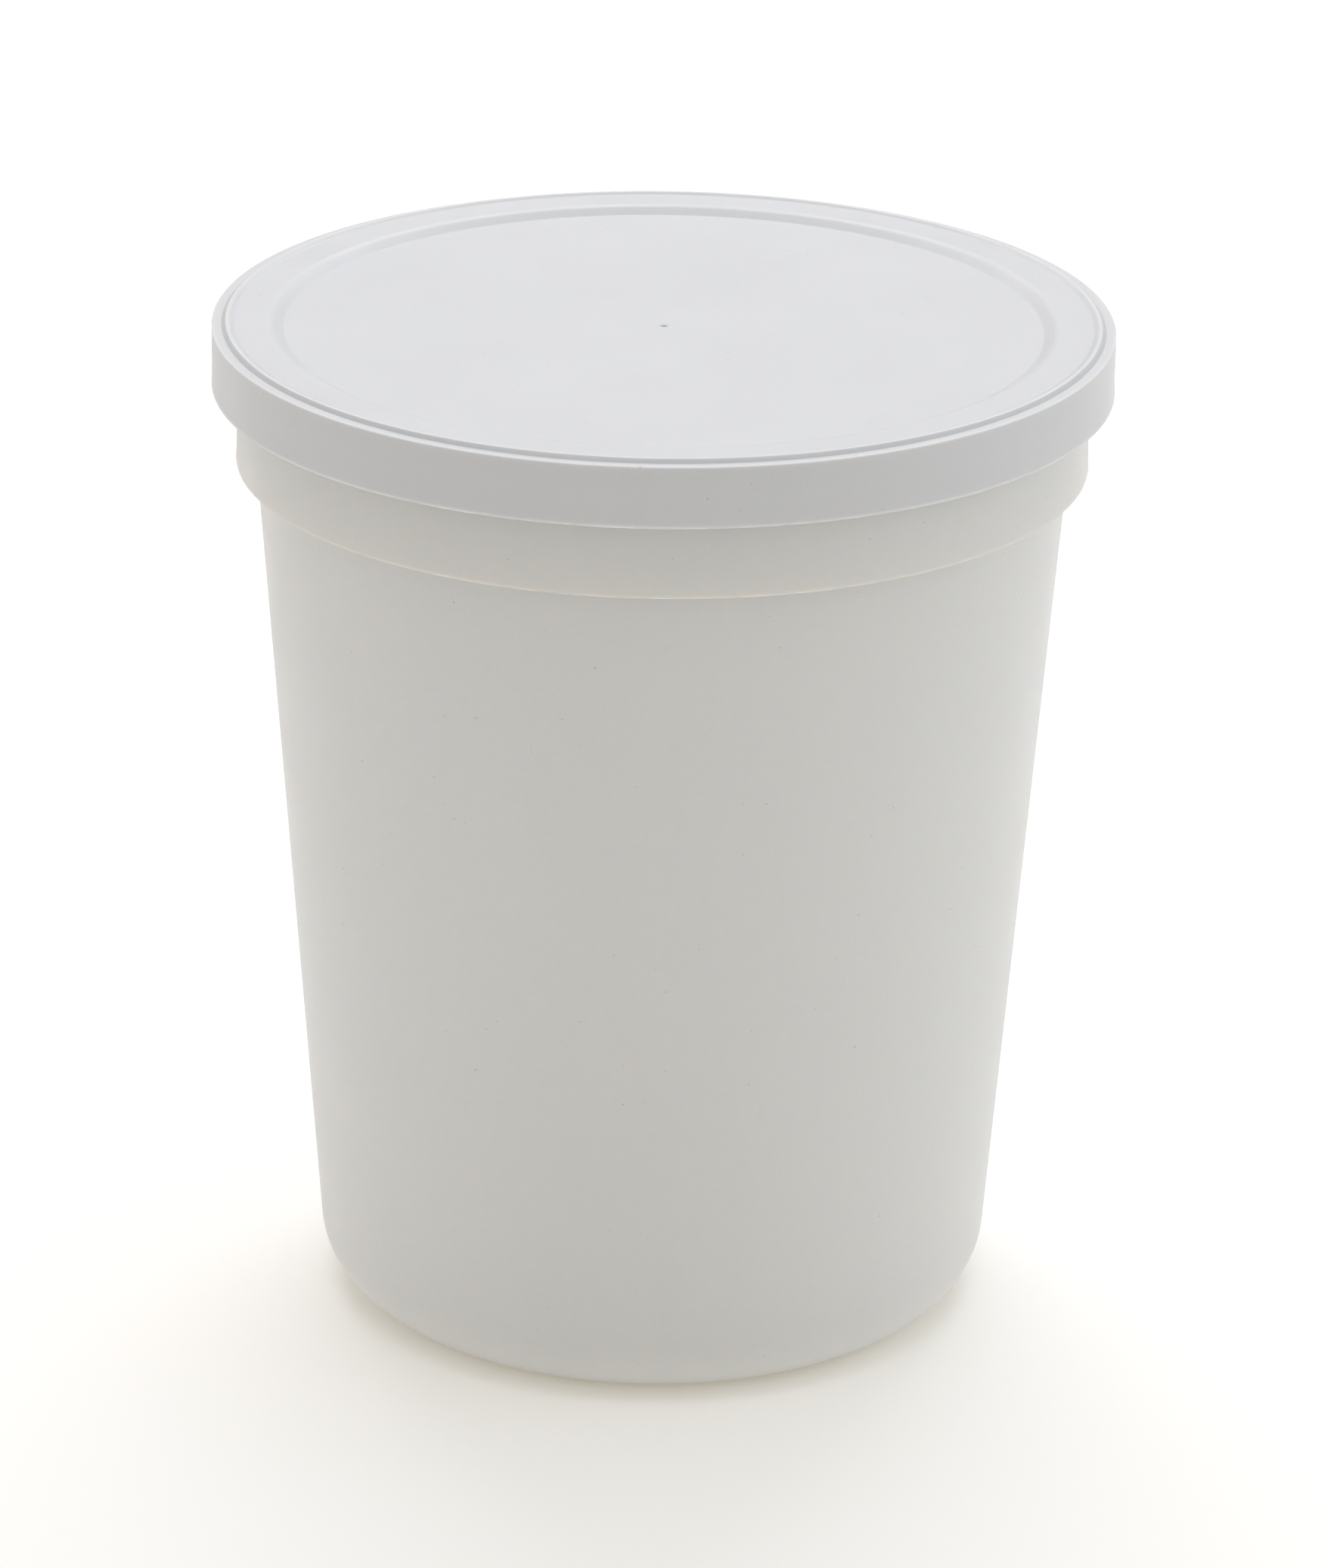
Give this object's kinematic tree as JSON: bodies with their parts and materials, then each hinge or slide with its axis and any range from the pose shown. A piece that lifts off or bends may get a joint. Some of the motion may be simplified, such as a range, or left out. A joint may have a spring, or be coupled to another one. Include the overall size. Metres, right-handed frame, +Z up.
{
  "type": "fermenting bucket",
  "caption": "Tapered round plastic bucket with a hollow collar below the rim and a plain press-on lid with a recessed top, for fermenting beer or wine.",
  "frame": {"origin": "centre of the foot ring, on the surface the bucket stands on", "axes": "+Z up along the axis of the bucket, from the base to the lid; the object is round, so X and Y are free"},
  "size_m": [0.2064, 0.2064, 0.2379],
  "materials": {
    "bucket": "satin natural white polypropylene",
    "lid": "satin white polyethylene"
  },
  "bodies": {
    "bucket": {"bucket": "bucket"},
    "lid": {"lid": "lid"}
  },
  "joints": [
    {"name": "lid_lift", "type": "slide", "parent": "bucket", "child": "lid", "axis": [0, 0, 1], "range_m": [0, 0.1]}
  ]
}
